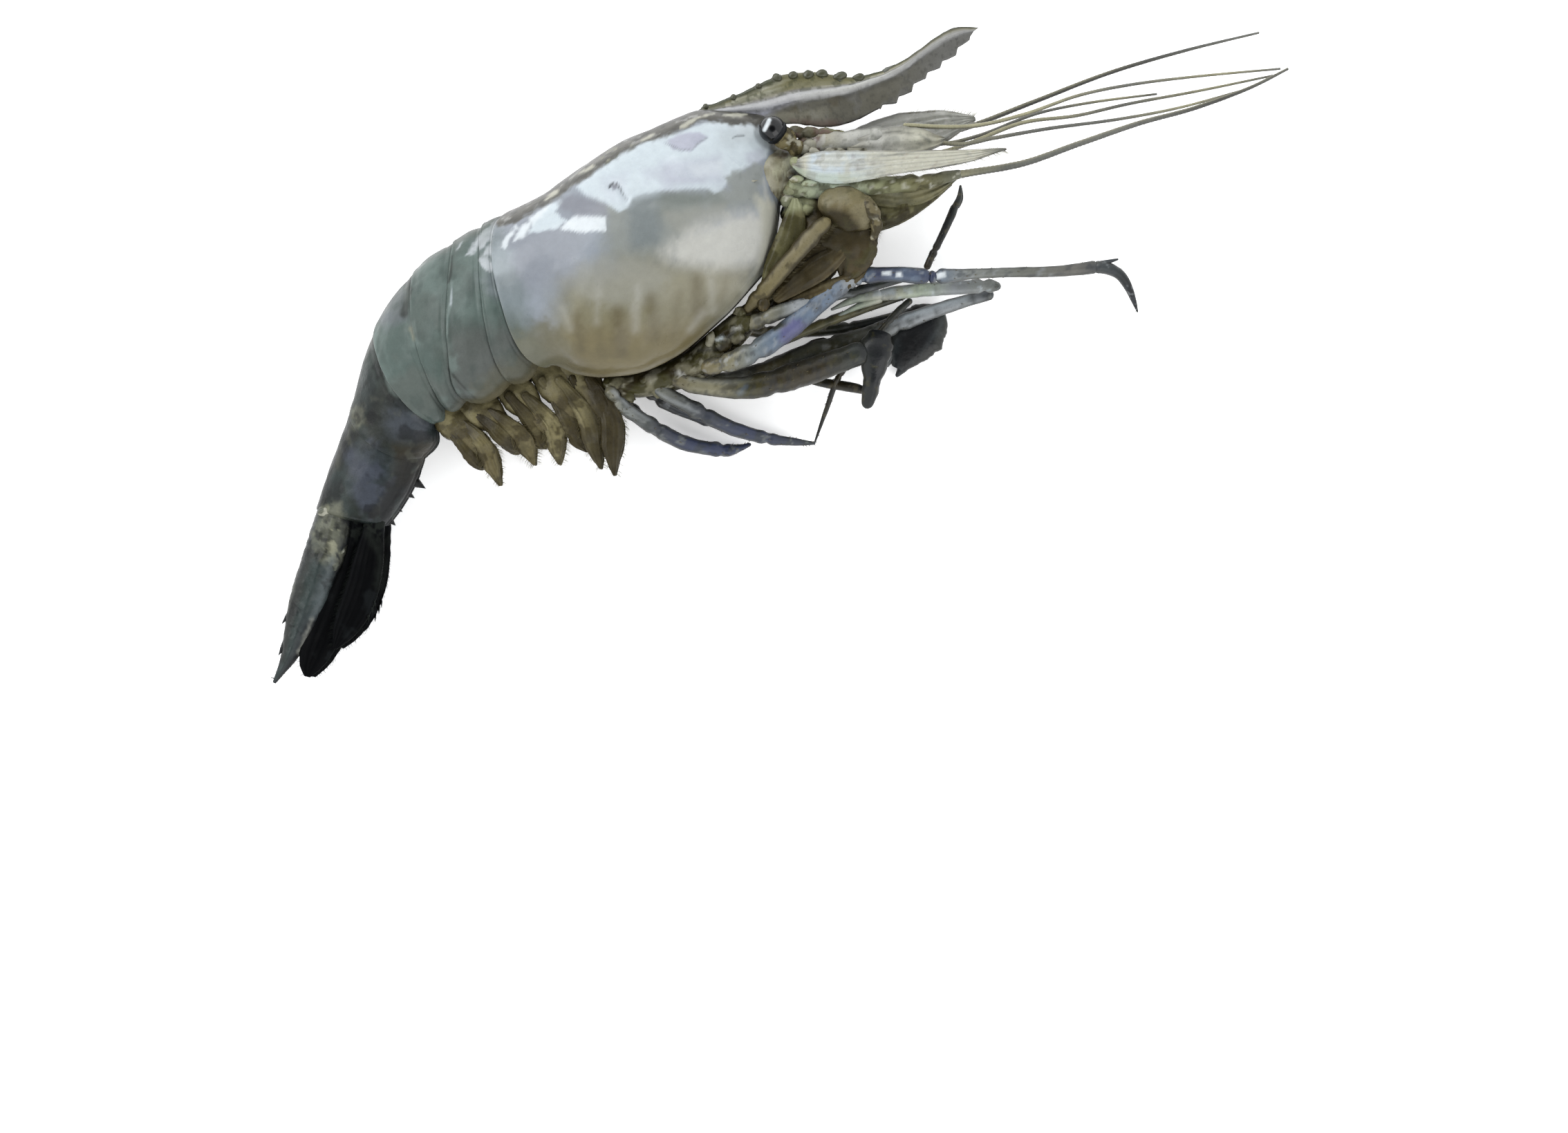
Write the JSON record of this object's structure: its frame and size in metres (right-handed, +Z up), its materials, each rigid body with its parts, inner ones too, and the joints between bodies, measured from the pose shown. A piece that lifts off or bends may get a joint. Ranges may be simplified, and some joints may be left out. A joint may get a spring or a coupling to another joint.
{
  "type": "raw freshwater prawn",
  "caption": "Whole raw freshwater prawn lying on its side, with a toothed up-curved rostrum, ringed shell, slim pincer legs, long feelers, swimmerets and a closed tail fan.",
  "frame": {"origin": "centre of the bounding box of the whole prawn, at table height under its left flank", "axes": "+X towards the head and feelers, +Y towards the back of the prawn, +Z up out of its right flank; it lies on its left side"},
  "size_m": [0.2076, 0.1338, 0.0298],
  "materials": {
    "shell": "wet translucent shell, pale blue-grey on top of the carapace to warm beige below, grey-green on the abdomen",
    "tail": "wet slate-black shell with blue-grey patches",
    "eye": "glossy black",
    "antennal_scale": "thin translucent grey plate",
    "head": "wet olive-beige shell",
    "whisker": "fine ringed grey to straw feeler",
    "leg": "wet slate-blue shell, near-black at the claws",
    "swimmeret": "soft olive-beige paddle"
  },
  "bodies": {
    "root": {"abdomen_1": "shell", "abdomen_2": "shell", "abdomen_3": "shell", "abdomen_4": "shell", "abdomen_5": "tail", "abdomen_6": "tail", "antenna_left": "whisker", "antenna_right": "whisker", "antennal_scale_left": "antennal_scale", "antennal_scale_right": "antennal_scale", "antennule_lash_1": "whisker", "antennule_lash_2": "whisker", "antennule_lash_3": "whisker", "antennule_lash_4": "whisker", "antennule_left": "head", "antennule_right": "head", "cephalothorax": "shell", "eye_left": "eye", "eye_right": "eye", "maxilliped_left": "head", "maxilliped_right": "head", "mouthparts": "head", "pereiopod_1_left": "leg", "pereiopod_1_left_hand": "leg", "pereiopod_1_right": "leg", "pereiopod_1_right_hand": "leg", "pereiopod_2_left": "leg", "pereiopod_2_left_hand": "leg", "pereiopod_2_right": "leg", "pereiopod_2_right_carpus": "leg", "pereiopod_2_right_hand": "leg", "pereiopod_3_left": "leg", "pereiopod_3_left_foot": "leg", "pereiopod_3_right": "leg", "pereiopod_4_left": "leg", "pereiopod_4_right": "leg", "pereiopod_5_left": "leg", "pereiopod_5_right": "leg", "pleopod_1_left": "swimmeret", "pleopod_1_right": "swimmeret", "pleopod_2_left": "swimmeret", "pleopod_2_right": "swimmeret", "pleopod_3_left": "swimmeret", "pleopod_3_right": "swimmeret", "pleopod_4_left": "swimmeret", "pleopod_4_right": "swimmeret", "pleopod_5_left": "swimmeret", "pleopod_5_right": "swimmeret", "telson": "tail", "uropod_inner_left": "tail", "uropod_inner_right": "tail", "uropod_outer_left": "tail", "uropod_outer_right": "tail"}
  },
  "joints": []
}
